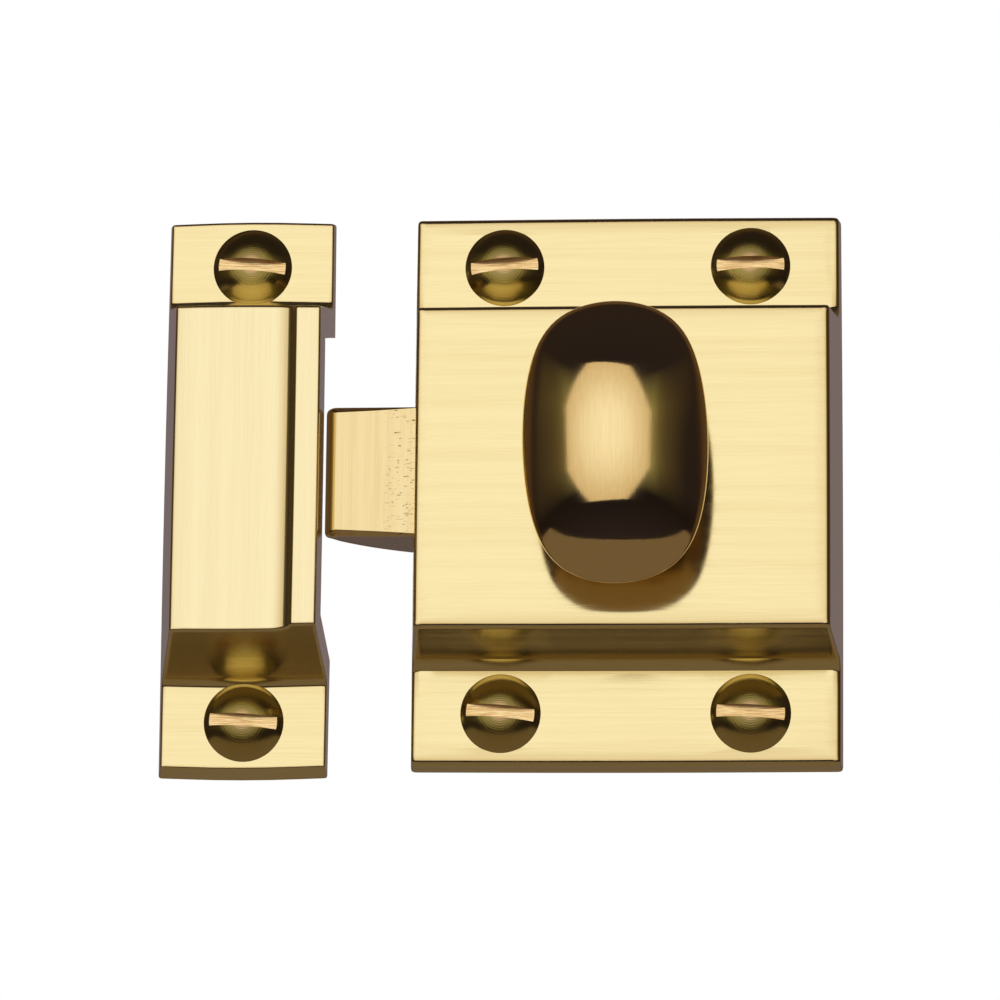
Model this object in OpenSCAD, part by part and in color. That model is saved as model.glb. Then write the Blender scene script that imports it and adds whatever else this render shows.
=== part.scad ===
// Cabinet knob latch: a cast case with a sliding bolt, and the lipped keep that the bolt enters.
// Every piece is drawn lying on its back: x runs across, y up the door and z out of the door.
// stand() then turns it upright, with the door at y = 0 and the front towards -y.

/* [Case] */
// Width of the case where it meets the door
case_w = 38.7; // [38.6:0.1:60]
// Height of the case over both flanges
case_h = 50.8; // [49:0.1:75]
// Depth of the case from the door to its front
case_d = 12.1; // [12:0.1:20]
// Length of each screw flange, from its end to the raised box
flange_l = 9.6; // [9.4:0.1:9.8]
// Thickness of the screw flanges
flange_t = 2.6; // [2.2:0.1:4]
// Slope of the side walls in degrees
side_draft = 6; // [2:0.5:7]
// Slope of the end walls in degrees
end_draft = 8.5; // [4:0.5:10]
// Radius of the hollow corner where the box rises from its flanges
foot_r = 1.3; // [0.4:0.1:1.8]
// Thickness of the side and end walls
wall_t = 2.6; // [2:0.1:2.7]
// Thickness of the front wall
face_t = 2.35; // [1.8:0.05:2.4]
// Thickness of the cover plate let into the back
cover_t = 1.2; // [0.8:0.1:1.3]
// Width of the ledge that the cover plate rests on
ledge = 1; // [0.8:0.1:1.4]

/* [Knob] */
// Width of the oval knob
knob_w = 16; // [12:0.1:20]
// Length of the oval knob
knob_l = 24.8; // [17:0.1:32]
// Thickness of the oval knob, from its back to its front
knob_t = 9.2; // [8.4:0.1:12]
// Height of the knob's middle above the front of the case
knob_stand = 8.6; // [8.4:0.1:10]
// Squareness of the oval: 2 is an ellipse, and more is squarer
knob_power = 2.5; // [2:0.1:3]
// Radius of the knob's collar above the case
collar_r = 4.6; // [4.2:0.1:5.5]
// Radius of the knob's journal in the case
journal_r = 3.5; // [3.3:0.1:3.9]
// Width of the square spindle
spindle_w = 4; // [3.6:0.1:4.3]

/* [Bolt] */
// How far the bolt stands out past the side of the case
bolt_out = 7.25; // [5:0.05:7.4]
// How far the bolt draws back
travel = 8; // [6:0.1:8.2]
// Angle that the knob turns through to draw the bolt
turn = 75; // [60:1:90]
// Height of the bolt's tongue
tongue_h = 11.7; // [9:0.1:13]
// How far the tongue's middle sits above the middle of the case
tongue_rise = 0.15; // [0:0.05:0.5]
// Thickness of the tongue at its tip
tip_t = 1.3; // [0.8:0.1:2]
// Radius of the rounded bevel on the back of the tongue
bevel_r = 20; // [12:1:40]
// Thickness of the bolt's tail plate
tail_t = 3; // [2.5:0.1:3.1]
// Radius of the follower's hub
hub_r = 4.4; // [4.2:0.1:4.6]
// Radius of the follower's nose
nose_r = 1.6; // [1.4:0.1:1.7]
// Thickness of the follower's arm
arm_t = 3; // [2:0.1:3.1]

/* [Return spring] */
// Outside diameter of the return spring
spring_d = 4.4; // [3.6:0.1:4.6]
// Diameter of the spring's wire
wire_d = 0.5; // [0.4:0.05:0.6]
// Number of turns of the spring
spring_turns = 13; // [8:1:15]

/* [Keep] */
// Width of the keep where it meets the frame
keep_w = 15.4; // [13:0.1:22]
// Height of the keep over both flanges
keep_h = 51.6; // [48:0.1:75]
// Length of each flange of the keep
keep_flange_l = 8.5; // [8.4:0.1:9.5]
// Thickness of the keep's flanges
keep_flange_t = 2.4; // [2.2:0.1:3.6]
// Thickness of the keep's front wall
keep_face_t = 3.2; // [2.6:0.1:4]
// Thickness of the keep's side and end walls
keep_wall_t = 3; // [2.4:0.1:3.6]
// Slope of the keep's outer side in degrees
keep_side_draft = 11; // [4:0.5:12]
// Slope of the keep's end walls in degrees
keep_end_draft = 14; // [6:0.5:15]
// Radius of the hollow corner where the keep's box rises from its flanges
keep_foot_r = 0.3; // [0.3:0.1:1]
// Width of the raised lip along the keep's mouth
lip_w = 1.95; // [1.5:0.05:2.5]
// Height of the raised lip above the keep's front
lip_rise = 1.1; // [0.6:0.1:1.4]
// Width of the hollow curve that sweeps up to the lip
cove_w = 1.5; // [1.2:0.05:2.5]
// How far the keep's middle sits above the middle of the case
keep_rise = -0.25; // [-1:0.05:1]

/* [Screws] */
// Radius of the wood screws' thread
thread_r = 1.75; // [1.5:0.05:1.8]
// Radius of the screws' plain neck
neck_r = 1.95; // [1.9:0.05:2.05]
// Radius of the screws' countersunk heads
head_r = 3.55; // [3.2:0.05:3.7]
// Height of the dome on the screws' heads
dome_h = 1.5; // [1:0.1:2]
// Length of the screws below the rim of the head
screw_l = 16; // [12:0.5:25]
// Width of the screws' slots
slot_w = 1.1; // [0.8:0.1:1.3]
// Height of the slots' floor above the rim of the head
slot_floor = 0.45; // [0.3:0.05:0.9]
// Distance from the end of a case flange to its screws
screw_edge = 4.95; // [4.6:0.05:5.2]
// Distance from the side of the case to its screws
screw_side = 8.25; // [6:0.05:10]
// Distance from the end of the keep to its screws
keep_screw_edge = 4.9; // [4.6:0.05:5.2]
// How far the keep's screws sit right of its middle
keep_screw_shift = 0.25; // [0:0.05:1]

/* [Fits] */
// Gap round each screw in its countersunk hole
screw_gap = 0.05; // [0.02:0.01:0.2]
// Running gap round the knob's journal
journal_gap = 0.05; // [0.02:0.01:0.1]
// Running gap round the bolt in the case
bolt_gap = 0.15; // [0.1:0.05:0.3]
// Gap between the follower's nose and the bolt's lug
drive_gap = 0.2; // [0.15:0.05:0.3]
// Gap round each fixed fit, such as the spindle in the knob
fixed_gap = 0.03; // [0.01:0.01:0.05]
// Gap between the bolt's front and the inside of the keep's lip
lip_gap = 0.3; // [0.2:0.05:1]
// Gap between the tip of the bolt and the keep, as set out side by side
keep_gap = 0; // [0:0.05:5]

/* [Hidden] */
$fn = 64;
brass = [0.84, 0.72, 0.44];
polished = [0.72, 0.58, 0.26];
steel = [0.62, 0.63, 0.65];

// Levels above the door
front_in = case_d - face_t;
bolt_front = front_in - bolt_gap;
tail_back = bolt_front - tail_t;
bolt_back = cover_t + 0.2;
arm_top = tail_back - 0.4;
arm_back = arm_top - arm_t;
hub_top = front_in - 0.1;
knob_z = case_d + knob_stand;
lip_in = bolt_front + lip_gap;
keep_d = lip_in + keep_face_t;

// Inside of the case at the door, and the change in half width and half height per unit of depth
side_slope = tan(side_draft);
end_slope = tan(end_draft);
box_h = case_h - 2 * flange_l;
cavity_x = case_w / 2 - wall_t;
cavity_y = box_h / 2 + flange_t * end_slope - wall_t;
tip_x = -case_w / 2 - bolt_out;

// Crank geometry: the arm swings evenly to each side of straight down
arm_r = travel / (2 * sin(turn / 2));
lug_x = -travel / 2 + nose_r + drive_gap;
lug_w = 3;
lug_top = -hub_r - 0.6;
tail_half = arm_r + nose_r + 0.4;
tail_left = -cavity_x + front_in * side_slope + 0.2;
tail_bridge = 2.6;
window_play = 0.3;
block_x = -travel - hub_r - window_play - 0.5;

// Bosses for the cover screws, at two opposite corners
boss_r = 1.7;
boss_x = 13.2;
boss_y = tail_half + 0.3 + boss_r;
cover_screw_r = 1;
cover_screw_l = 5;
cover_head_r = 1.9;

// The spring lies above the bolt, between a lug on its tail and a pad on the right wall
spring_y = tail_half + 0.7;
spring_z = (cover_t + tail_back) / 2;
spring_x0 = -8;
spring_lug_w = 2.6;
pad_r = spring_d / 2 + 0.3;
spring_x1 = cavity_x - spring_z * side_slope - 0.7;
stub_r = spring_d / 2 - wire_d - 0.25;
stub_l = 3;

// Screw in the end of the spindle
end_screw_r = 1.25;
end_screw_l = 5;
end_head_r = 2.2;
end_head_h = 1;
washer_r = 3.4;
washer_t = 0.4;
spindle_top = knob_z + 1;

keep_x = tip_x - keep_gap - keep_w / 2;
screw_x = case_w / 2 - screw_side;
screw_y = case_h / 2 - screw_edge;
keep_screw_y = keep_h / 2 - keep_screw_edge;
case_slot_angles = [4, 1, -5, -3];
keep_slot_angles = [-4, -3.5];
// Size of the cutters that run past the metal
over = 1;

// Turns a piece drawn on its back upright against the door
module stand() {
  rotate([90, 0, 0]) children();
}

// A bar of length l along y, with the outline given in x and z
module bar_along_y(l, outline) {
  translate([0, l / 2, 0]) rotate([90, 0, 0]) linear_extrude(l) polygon(outline);
}

// A bar of length l along x, with the outline given in y and z
module bar_along_x(l, outline) {
  translate([-l / 2, 0, 0]) rotate([90, 0, 90]) linear_extrude(l) polygon(outline);
}

// Outline of a flanged casting seen from its side: two thin flanges and a raised, sloping box.
// foot is the radius of the hollow corner between each flange and the box.
function flanged_outline(h, box, flange, depth, slope, foot) =
  let (
    lean = atan(slope),
    y = box / 2 - foot * slope + foot / cos(lean),
    half = [
      [h / 2, 0],
      [h / 2 - flange * slope, flange],
      for (i = [0:6]) let (a = 270 - (90 - lean) * i / 6) [y + foot * cos(a), flange + foot + foot * sin(a)],
      [box / 2 - (depth - flange) * slope, depth]
    ],
    n = len(half)
  )
  concat(half, [for (i = [n - 1:-1:0]) [-half[i][0], half[i][1]]]);

// Outline with two sloping sides, half as wide as half at the door, from z0 to z1
function sloping_outline(half, slope, z0, z1) = [
  [-half + z0 * slope, z0],
  [half - z0 * slope, z0],
  [half - z1 * slope, z1],
  [-half + z1 * slope, z1]
];

// Countersunk hole for a wood screw through a flange of thickness t
module screw_hole(t) {
  cone = head_r - neck_r;
  translate([0, 0, -over]) cylinder(r = neck_r + screw_gap, h = t + 2 * over);
  translate([0, 0, t - cone]) cylinder(r1 = neck_r + screw_gap, r2 = head_r + screw_gap, h = cone);
  translate([0, 0, t]) cylinder(r = head_r + screw_gap, h = over);
}

// Raised countersunk wood screw, its head's rim flush with a flange of thickness t
module wood_screw(t, slot_angle) {
  cone = head_r - neck_r;
  cap_r = (head_r * head_r + dome_h * dome_h) / (2 * dome_h);
  point = 3;
  difference() {
    union() {
      translate([0, 0, t]) intersection() {
        translate([0, 0, dome_h - cap_r]) sphere(r = cap_r);
        cylinder(r = head_r + over, h = dome_h + over);
      }
      translate([0, 0, t - cone]) cylinder(r1 = neck_r, r2 = head_r, h = cone);
      cylinder(r = neck_r, h = t - cone);
      translate([0, 0, t - screw_l + point]) cylinder(r = thread_r, h = screw_l - t - point);
      translate([0, 0, t - screw_l]) cylinder(r1 = 0.2, r2 = thread_r, h = point);
    }
    rotate([0, 0, slot_angle]) translate([-head_r - over, -slot_w / 2, t + slot_floor])
      cube([2 * (head_r + over), slot_w, dome_h + over]);
  }
}

// Small countersunk machine screw driven from the back, its head flush with the door
module cover_screw(x, y) {
  cone = cover_head_r - cover_screw_r;
  color(polished) stand() translate([x, y, 0]) difference() {
    union() {
      cylinder(r1 = cover_head_r, r2 = cover_screw_r, h = cone);
      translate([0, 0, cone]) cylinder(r = cover_screw_r, h = cover_screw_l - cone);
    }
    translate([-cover_head_r - over, -0.3, -over]) cube([2 * (cover_head_r + over), 0.6, over + 0.5]);
  }
}

module case() {
  color(brass) stand() difference() {
    union() {
      difference() {
        intersection() {
          bar_along_y(case_h + 2 * over, sloping_outline(case_w / 2, side_slope, 0, case_d));
          bar_along_x(case_w + 2 * over, flanged_outline(case_h, box_h, flange_t, case_d, end_slope, foot_r));
        }
        case_cavity();
      }
      intersection() {
        case_cavity();
        case_bosses();
      }
    }
    cover_recess();
    cylinder(r = journal_r + journal_gap, h = case_d + over);
    tongue_slot();
    for (s = [-1, 1])
      translate([s * boss_x, -s * boss_y, 0])
        cylinder(r = cover_screw_r + fixed_gap, h = cover_screw_l + 0.5);
    for (sx = [-1, 1], sy = [-1, 1])
      translate([sx * screw_x, sy * screw_y, 0]) screw_hole(flange_t);
  }
}

module case_cavity() {
  intersection() {
    bar_along_y(case_h, sloping_outline(cavity_x, side_slope, -over, front_in));
    bar_along_x(case_w, sloping_outline(cavity_y, end_slope, -over, front_in));
  }
}

// Two posts for the cover screws, and the pad and stub for the spring
module case_bosses() {
  for (s = [-1, 1])
    translate([s * boss_x, -s * boss_y, cover_t]) {
      cylinder(r = boss_r, h = case_d);
      translate([-1.2, s > 0 ? -boss_y : 0, 0]) cube([2.4, boss_y, case_d]);
    }
  translate([spring_x1, spring_y, spring_z]) rotate([0, 90, 0]) {
    cylinder(r = pad_r, h = case_w);
    translate([0, 0, -stub_l]) cylinder(r = stub_r, h = stub_l + over);
  }
}

module cover_recess() {
  x = 2 * (cavity_x + ledge);
  y = 2 * (cavity_y + ledge);
  translate([-x / 2, -y / 2, -over]) cube([x, y, cover_t + over]);
}

module tongue_slot() {
  h = tongue_h + 2 * bolt_gap;
  translate([-case_w, tongue_rise - h / 2, -over]) cube([case_w - cavity_x + wall_t, h, front_in + over]);
}

module cover_plate() {
  x = 2 * (cavity_x + ledge - fixed_gap);
  y = 2 * (cavity_y + ledge - fixed_gap);
  tab_h = tongue_h + 2 * bolt_gap - 2 * fixed_gap;
  tab_end = case_w / 2 - 0.3;
  cone = cover_head_r - cover_screw_r;
  color(brass) stand() difference() {
    union() {
      translate([-x / 2, -y / 2, 0]) cube([x, y, cover_t]);
      translate([-tab_end, tongue_rise - tab_h / 2, 0]) cube([tab_end, tab_h, cover_t]);
    }
    for (s = [-1, 1])
      translate([s * boss_x, -s * boss_y, 0]) {
        translate([0, 0, -over]) cylinder(r = cover_screw_r + fixed_gap, h = cover_t + 2 * over);
        cylinder(r1 = cover_head_r + fixed_gap, r2 = cover_screw_r + fixed_gap, h = cone);
        translate([0, 0, -over]) cylinder(r = cover_head_r + fixed_gap, h = over);
      }
  }
}

// Outline of the tongue from above: rounded tip, then the long rounded bevel to its back
function tongue_outline() =
  let (
    nose = tip_t - 0.1,
    a = [tip_x, bolt_front - tip_t],
    b = [-case_w / 2 + 0.3, bolt_back],
    chord = norm(b - a),
    middle = (a + b) / 2,
    away = [a[1] - b[1], b[0] - a[0]] / chord,
    centre = middle + away * sqrt(bevel_r * bevel_r - chord * chord / 4),
    from = atan2(a[1] - centre[1], a[0] - centre[0]),
    to = atan2(b[1] - centre[1], b[0] - centre[0])
  )
  [
    [block_x, bolt_back],
    [block_x, bolt_front],
    for (t = [0:15:90]) [tip_x + nose - nose * sin(t), bolt_front - nose + nose * cos(t)],
    for (i = [0:12]) centre + bevel_r * [cos(from + (to - from) * i / 12), sin(from + (to - from) * i / 12)]
  ];

module bolt() {
  window_h = 2 * (hub_r + 0.12);
  lug_back = arm_back - 0.2;
  color(brass) stand() difference() {
    union() {
      translate([0, tongue_rise, 0]) bar_along_y(tongue_h, tongue_outline());
      translate([tail_left, -tail_half, tail_back])
        cube([hub_r + window_play + tail_bridge - tail_left, 2 * tail_half, tail_t]);
      translate([lug_x, -tail_half, lug_back]) cube([lug_w, tail_half + lug_top, bolt_front - lug_back]);
      spring_lug();
    }
    for (x = [-travel - window_play, window_play])
      translate([x, 0, tail_back - over]) cylinder(d = window_h, h = tail_t + 2 * over);
    translate([-travel - window_play, -window_h / 2, tail_back - over])
      cube([travel + 2 * window_play, window_h, tail_t + 2 * over]);
  }
}

// Lug that the spring pushes on, with a stub inside the spring's end
module spring_lug() {
  low = hub_r + 2.2;
  high = spring_y + spring_d / 2;
  z0 = spring_z - spring_d / 2;
  translate([spring_x0 - spring_lug_w, low, z0]) cube([spring_lug_w, high - low, tail_back - z0 + 0.5]);
  translate([spring_x0 - over, spring_y, spring_z]) rotate([0, 90, 0]) cylinder(r = stub_r, h = stub_l + over);
}

// Place of the wire's middle along the spring, t turns from its left end: the end turns lie close
function spring_along(t, l) =
  let (close = wire_d * 1.06, open = (l - 2 * close - wire_d) / (spring_turns - 2))
  wire_d / 2 + (t < 1 ? t * close : t > spring_turns - 1
    ? l - wire_d - (spring_turns - t) * close
    : close + (t - 1) * open);

module return_spring() {
  l = spring_x1 - spring_x0;
  steps = 16;
  sides = 6;
  n = spring_turns * steps;
  r = (spring_d - wire_d) / 2;
  points = [
    for (i = [0:n]) for (k = [0:sides - 1])
      let (
        a = 360 * i / steps,
        b = 360 * k / sides,
        reach = r + wire_d / 2 * cos(b)
      )
      [spring_along(i / steps, l) + wire_d / 2 * sin(b), reach * cos(a), reach * sin(a)]
  ];
  walls = [
    for (i = [0:n - 1]) for (k = [0:sides - 1])
      let (a = i * sides + k, b = i * sides + (k + 1) % sides)
      [a, a + sides, b + sides, b]
  ];
  ends = [
    [for (k = [0:sides - 1]) k],
    [for (k = [sides - 1:-1:0]) n * sides + k]
  ];
  color(steel) stand() translate([spring_x0, spring_y, spring_z]) polyhedron(points, concat(walls, ends));
}

// Crank on the spindle: a hub with an arm that ends in a round nose, at rest a half turn to the left
module follower() {
  color(steel) stand() difference() {
    union() {
      translate([0, 0, arm_back]) cylinder(r = hub_r, h = hub_top - arm_back);
      rotate([0, 0, -turn / 2]) translate([0, 0, arm_back]) {
        translate([0, -arm_r, 0]) cylinder(r = nose_r, h = arm_t);
        translate([-nose_r * 0.7, -arm_r, 0]) cube([nose_r * 1.4, arm_r, arm_t]);
      }
    }
    square_bar(spindle_w + 2 * fixed_gap, arm_back - over, hub_top + over);
  }
}

module square_bar(w, z0, z1) {
  translate([-w / 2, -w / 2, z0]) cube([w, w, z1 - z0]);
}

module spindle() {
  z0 = arm_back + 0.1;
  color(steel) stand() difference() {
    square_bar(spindle_w, z0, spindle_top);
    translate([0, 0, z0 - over]) cylinder(r = end_screw_r + fixed_gap, h = end_screw_l + 0.5 + over);
  }
}

module spindle_washer() {
  color(steel) stand() translate([0, 0, arm_back - washer_t - fixed_gap]) difference() {
    cylinder(r = washer_r, h = washer_t);
    translate([0, 0, -over]) cylinder(r = end_screw_r + 0.1, h = washer_t + 2 * over);
  }
}

module spindle_screw() {
  z = arm_back - washer_t - 2 * fixed_gap;
  color(steel) stand() difference() {
    union() {
      translate([0, 0, z - end_head_h]) cylinder(r = end_head_r, h = end_head_h);
      translate([0, 0, z]) cylinder(r = end_screw_r, h = end_screw_l);
    }
    translate([-end_head_r - over, -0.35, z - end_head_h - over])
      cube([2 * (end_head_r + over), 0.7, over + 0.5]);
  }
}

// Half outline of the oval knob, turned about its long axis
function oval_half(a, b) = [
  for (t = [-90:7.5:90])
    [a * pow(abs(cos(t)), 2 / knob_power), b * sign(t) * pow(abs(sin(t)), 2 / knob_power)]
];

module knob() {
  color(polished) stand() difference() {
    union() {
      translate([0, 0, knob_z]) scale([1, 1, knob_t / knob_w]) rotate([90, 0, 0])
        rotate_extrude() polygon(oval_half(knob_w / 2, knob_l / 2));
      translate([0, 0, case_d + 0.1]) cylinder(r = collar_r, h = knob_stand - 0.1);
      translate([0, 0, hub_top]) cylinder(r = journal_r, h = case_d - hub_top + over);
    }
    square_bar(spindle_w + 2 * fixed_gap, hub_top - over, spindle_top + fixed_gap);
  }
}

// The keep's front ends in a hollow curve that sweeps up to the raised lip
module keep() {
  slope = tan(keep_side_draft);
  ends = tan(keep_end_draft);
  box = keep_h - 2 * keep_flange_l;
  half = keep_w / 2;
  lip_d = keep_d + lip_rise;
  sweep = 2 * atan(lip_rise / cove_w);
  cove_r = cove_w / sin(sweep);
  hollow_x = half - keep_wall_t;
  hollow_y = box / 2 + keep_flange_t * ends - keep_wall_t;
  color(brass) stand() translate([keep_x, keep_rise, 0]) difference() {
    intersection() {
      bar_along_y(keep_h + 2 * over, [
        [-half, 0],
        [half, 0],
        [half, lip_d],
        for (i = [8:-1:0]) let (t = sweep * i / 8)
          [half - lip_w - cove_w + cove_r * sin(t), keep_d + cove_r * (1 - cos(t))],
        [-half + keep_d * slope, keep_d]
      ]);
      bar_along_x(keep_w + 2 * over, flanged_outline(keep_h, box, keep_flange_t, lip_d, ends, keep_foot_r));
    }
    intersection() {
      bar_along_y(keep_h, [
        [-hollow_x - over * slope, -over],
        [half + over, -over],
        [half + over, lip_in],
        [-hollow_x + lip_in * slope, lip_in]
      ]);
      bar_along_x(keep_w + 4 * over, sloping_outline(hollow_y, ends, -over, lip_in));
    }
    for (s = [-1, 1])
      translate([keep_screw_shift, s * keep_screw_y, 0]) screw_hole(keep_flange_t);
  }
}

// The case's screws are numbered from the top left, across and then down
module case_screw(i) {
  color(polished) stand()
    translate([i % 2 == 0 ? -screw_x : screw_x, i < 2 ? screw_y : -screw_y, 0])
      wood_screw(flange_t, case_slot_angles[i]);
}

// The keep's screws are numbered from the top
module keep_screw(i) {
  color(polished) stand()
    translate([keep_x + keep_screw_shift, keep_rise + (i == 0 ? keep_screw_y : -keep_screw_y), 0])
      wood_screw(keep_flange_t, keep_slot_angles[i]);
}

case();
cover_plate();
cover_screw(-boss_x, boss_y);  // cover_screw_1
cover_screw(boss_x, -boss_y);  // cover_screw_2
bolt();
return_spring();
follower();
spindle();
spindle_washer();
spindle_screw();
knob();
case_screw(0);  // case_screw_1
case_screw(1);  // case_screw_2
case_screw(2);  // case_screw_3
case_screw(3);  // case_screw_4
keep();
keep_screw(0);  // keep_screw_1
keep_screw(1);  // keep_screw_2
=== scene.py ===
import math

import bmesh
import bpy
from mathutils import Matrix, Vector


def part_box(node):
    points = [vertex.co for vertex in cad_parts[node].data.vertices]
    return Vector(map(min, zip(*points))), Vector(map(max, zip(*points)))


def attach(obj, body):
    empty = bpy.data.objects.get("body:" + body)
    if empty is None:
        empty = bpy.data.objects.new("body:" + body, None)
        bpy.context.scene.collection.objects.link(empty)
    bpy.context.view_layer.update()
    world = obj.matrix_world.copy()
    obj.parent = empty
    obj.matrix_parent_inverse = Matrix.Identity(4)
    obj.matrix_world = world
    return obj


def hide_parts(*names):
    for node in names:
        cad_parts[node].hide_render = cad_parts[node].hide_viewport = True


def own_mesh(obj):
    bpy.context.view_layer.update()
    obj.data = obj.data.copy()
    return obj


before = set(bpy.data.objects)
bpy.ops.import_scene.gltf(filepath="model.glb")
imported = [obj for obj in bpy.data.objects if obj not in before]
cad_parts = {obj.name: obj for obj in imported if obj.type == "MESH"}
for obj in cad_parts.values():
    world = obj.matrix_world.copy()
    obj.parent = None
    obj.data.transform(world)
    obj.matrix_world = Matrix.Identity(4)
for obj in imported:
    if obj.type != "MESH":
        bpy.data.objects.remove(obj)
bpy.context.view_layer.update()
millimetre = 0.001       # pieces are drawn in millimetres and made metres when they are put in place
hairline = 0.01          # millimetres, too small to show
smoothAngle = 32         # degrees; faces that meet at less than this are shaded as one


# Selecting and small steps

def alone(piece):
    if bpy.context.object and bpy.context.object.mode != "OBJECT":
        bpy.ops.object.mode_set(mode="OBJECT")
    bpy.ops.object.select_all(action="DESELECT")
    piece.select_set(True)
    bpy.context.view_layer.objects.active = piece


def pick(piece, kind, wanted):
    # opens the piece for editing with only the vertices, edges or faces that wanted() says
    alone(piece)
    bpy.ops.object.mode_set(mode="EDIT")
    bpy.ops.mesh.select_mode(type=kind)
    bpy.ops.mesh.select_all(action="DESELECT")
    mesh = bmesh.from_edit_mesh(piece.data)
    if kind == "VERT":
        found = [v for v in mesh.verts if wanted(v.co)]
    elif kind == "EDGE":
        found = [e for e in mesh.edges if wanted(e.verts[0].co, e.verts[1].co)]
    else:
        found = [f for f in mesh.faces if wanted(f.calc_center_median(), f.normal)]
    for element in found:
        element.select_set(True)
    mesh.select_flush_mode()
    bmesh.update_edit_mesh(piece.data)
    return len(found)


def everything(place, normal=None):
    return True


def closeEdit():
    bpy.ops.object.mode_set(mode="OBJECT")


def applyModifier(piece, kind, **settings):
    alone(piece)
    modifier = piece.modifiers.new(kind.title(), kind)
    for name, value in settings.items():
        setattr(modifier, name, value)
    bpy.ops.object.modifier_apply(modifier=modifier.name)
    return piece


def cut(piece, cutter, operation="DIFFERENCE"):
    # the cutter is used up
    applyModifier(piece, "BOOLEAN", operation=operation, object=cutter, solver="EXACT",
                  material_mode="TRANSFER")
    bpy.data.objects.remove(cutter)
    return piece


def addCage(middle, size, count):
    # a lattice round a piece, with this many points across it and up it
    bpy.ops.object.select_all(action="DESELECT")
    bpy.ops.object.add(type="LATTICE", location=middle)
    cage = bpy.context.object
    cage.scale = size
    cage.data.points_u, cage.data.points_v, cage.data.points_w = count, 2, count
    for which in ("u", "v", "w"):
        setattr(cage.data, "interpolation_type_" + which, "KEY_BSPLINE")
    return cage


def bend(piece, cage):
    # gives the piece the lattice's shape
    applyModifier(piece, "LATTICE", object=cage)
    bpy.data.objects.remove(cage)


def addBox(low, high, name="box"):
    bpy.ops.object.select_all(action="DESELECT")
    centre = [(a + b) / 2 for a, b in zip(low, high)]
    bpy.ops.mesh.primitive_cube_add(size=1, location=centre)
    piece = bpy.context.object
    piece.name = name
    piece.scale = [b - a for a, b in zip(low, high)]
    bpy.ops.object.transform_apply(location=True, rotation=True, scale=True)
    return piece


def cutAcross(piece, point, normal):
    # cuts every face along a plane, and keeps both sides
    pick(piece, "FACE", everything)
    bpy.ops.mesh.bisect(plane_co=point, plane_no=normal)
    closeEdit()


def softEdges(piece, width, segments=4, profile=0.5, angle=30):
    return applyModifier(piece, "BEVEL", width=width, segments=segments, profile=profile,
                         limit_method="ANGLE", angle_limit=math.radians(angle),
                         use_clamp_overlap=False)


def prism(name, outline, low, high):
    # a bar along z with the outline given in x and y
    bar = drawOutline(name, [(x, y, low) for x, y in outline])
    pick(bar, "VERT", everything)
    bpy.ops.mesh.edge_face_add()
    bpy.ops.mesh.extrude_region_move(TRANSFORM_OT_translate={"value": (0, 0, high - low)})
    bpy.ops.mesh.select_all(action="SELECT")
    bpy.ops.mesh.normals_make_consistent(inside=False)
    closeEdit()
    return bar


def cadCopy(node):
    # a copy of a CAD node's mesh in millimetres, with its loose triangles joined into faces
    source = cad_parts[node]
    piece = bpy.data.objects.new(node + "_copy", source.data.copy())
    bpy.context.scene.collection.objects.link(piece)
    piece.data.transform(Matrix.Scale(1 / millimetre, 4))
    piece.data.materials.clear()
    pick(piece, "VERT", everything)
    bpy.ops.mesh.customdata_custom_splitnormals_clear()
    bpy.ops.mesh.remove_doubles(threshold=0.0005)
    bpy.ops.mesh.normals_make_consistent(inside=False)
    bpy.ops.mesh.dissolve_limited(angle_limit=math.radians(0.5))
    closeEdit()
    return piece


def drawOutline(name, points):
    # a chain of edges, drawn point by point as by hand
    bpy.ops.object.select_all(action="DESELECT")
    bpy.ops.mesh.primitive_plane_add(size=1, location=(0, 0, 0))
    piece = bpy.context.object
    piece.name = name
    pick(piece, "VERT", everything)
    bpy.ops.mesh.merge(type="CENTER")
    bpy.ops.transform.translate(value=points[0])
    for before, after in zip(points, points[1:]):
        step = [b - a for a, b in zip(before, after)]
        bpy.ops.mesh.extrude_region_move(TRANSFORM_OT_translate={"value": step})
    closeEdit()
    return piece


def turn(piece, steps):
    # turns an outline about the y axis into a closed round solid
    pick(piece, "VERT", everything)
    bpy.ops.mesh.spin(steps=steps, angle=2 * math.pi, center=(0, 0, 0), axis=(0, 1, 0))
    bpy.ops.mesh.select_all(action="SELECT")
    bpy.ops.mesh.remove_doubles(threshold=0.0005)
    bpy.ops.mesh.normals_make_consistent(inside=False)
    closeEdit()
    return piece


def putInPlace(piece, name, node, body, slotName, *materials):
    # from millimetres to metres, smooth where the faces run on, riding on its body
    alone(piece)
    piece.name = name
    piece.data.name = name
    piece.scale = [millimetre] * 3
    piece.location = [value * millimetre for value in piece.location]
    bpy.ops.object.transform_apply(location=True, rotation=True, scale=True)
    bpy.ops.object.shade_smooth_by_angle(angle=math.radians(smoothAngle))
    applyModifier(piece, "WEIGHTED_NORMAL", keep_sharp=True, weight=60)
    if materials:
        piece.data.materials.clear()
        for material in materials:
            piece.data.materials.append(material)
    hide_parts(node)
    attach(piece, body)
    return piece


# Materials

def linear(hexColour):
    # an sRGB hex colour as the linear values that the shader reads
    parts = [int(hexColour[i:i + 2], 16) / 255 for i in (1, 3, 5)]
    return [p / 12.92 if p <= 0.04045 else ((p + 0.055) / 1.055) ** 2.4 for p in parts] + [1]


def newMaterial(name):
    material = bpy.data.materials.new(name)
    material.use_nodes = True
    return material, material.node_tree


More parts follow.
